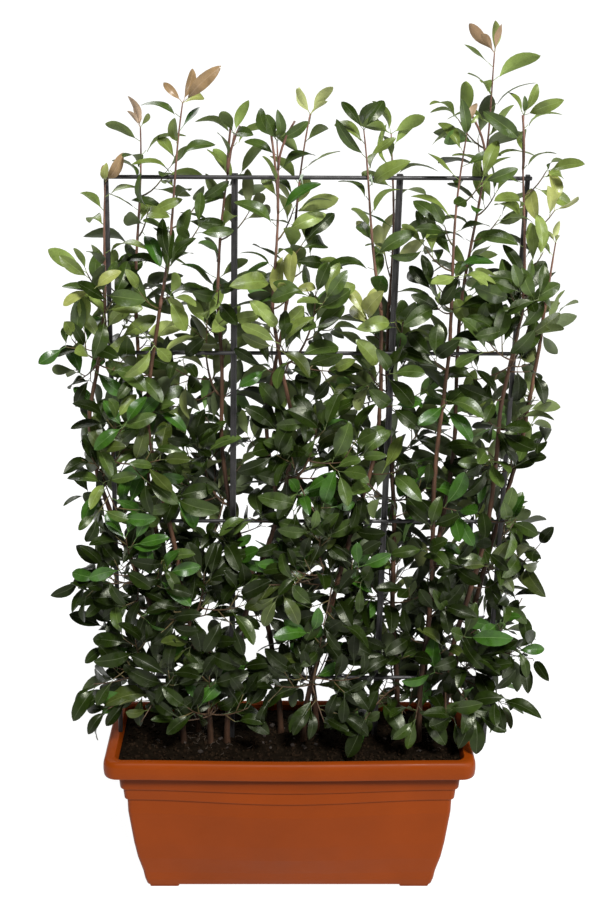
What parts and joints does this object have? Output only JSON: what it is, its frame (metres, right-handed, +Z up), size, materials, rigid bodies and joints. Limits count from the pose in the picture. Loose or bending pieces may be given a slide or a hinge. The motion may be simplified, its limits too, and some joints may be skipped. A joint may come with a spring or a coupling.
{
  "type": "potted evergreen shrub screen",
  "caption": "Evergreen shrub grown flat on a metal trellis as a leafy screen, standing in a rectangular plastic trough of potting soil with a rolled rim, stepped bands and low feet.",
  "frame": {"origin": "on the ground, under the middle of the trough's underside", "axes": "+Z up, +X along the trough to the viewer's right, -Y towards the viewer"},
  "size_m": [1.0684, 0.282, 1.8697],
  "materials": {
    "terracotta_plastic": "satin",
    "potting_soil": "matte",
    "painted_steel": "satin",
    "bark": "satin",
    "foliage": "satin"
  },
  "bodies": {
    "root": {"leaves_high_centre": "foliage", "leaves_high_far_left": "foliage", "leaves_high_far_right": "foliage", "leaves_high_left": "foliage", "leaves_high_right": "foliage", "leaves_low_centre": "foliage", "leaves_low_far_left": "foliage", "leaves_low_far_right": "foliage", "leaves_low_left": "foliage", "leaves_low_right": "foliage", "leaves_middle_centre": "foliage", "leaves_middle_far_left": "foliage", "leaves_middle_far_right": "foliage", "leaves_middle_left": "foliage", "leaves_middle_right": "foliage", "leaves_upper_centre": "foliage", "leaves_upper_far_left": "foliage", "leaves_upper_far_right": "foliage", "leaves_upper_left": "foliage", "leaves_upper_right": "foliage", "post_inner_left": "painted_steel", "post_inner_right": "painted_steel", "post_left": "painted_steel", "post_right": "painted_steel", "pot": "terracotta_plastic", "rail_bottom": "painted_steel", "rail_lower": "painted_steel", "rail_top": "painted_steel", "rail_upper": "painted_steel", "shoot_1": "foliage", "shoot_10": "foliage", "shoot_11": "foliage", "shoot_12": "foliage", "shoot_2": "foliage", "shoot_3": "foliage", "shoot_4": "foliage", "shoot_5": "foliage", "shoot_6": "foliage", "shoot_7": "foliage", "shoot_8": "foliage", "shoot_9": "foliage", "soil": "potting_soil", "stem_1": "bark", "stem_10": "bark", "stem_11": "bark", "stem_12": "bark", "stem_2": "bark", "stem_3": "bark", "stem_4": "bark", "stem_5": "bark", "stem_6": "bark", "stem_7": "bark", "stem_8": "bark", "stem_9": "bark"}
  },
  "joints": []
}
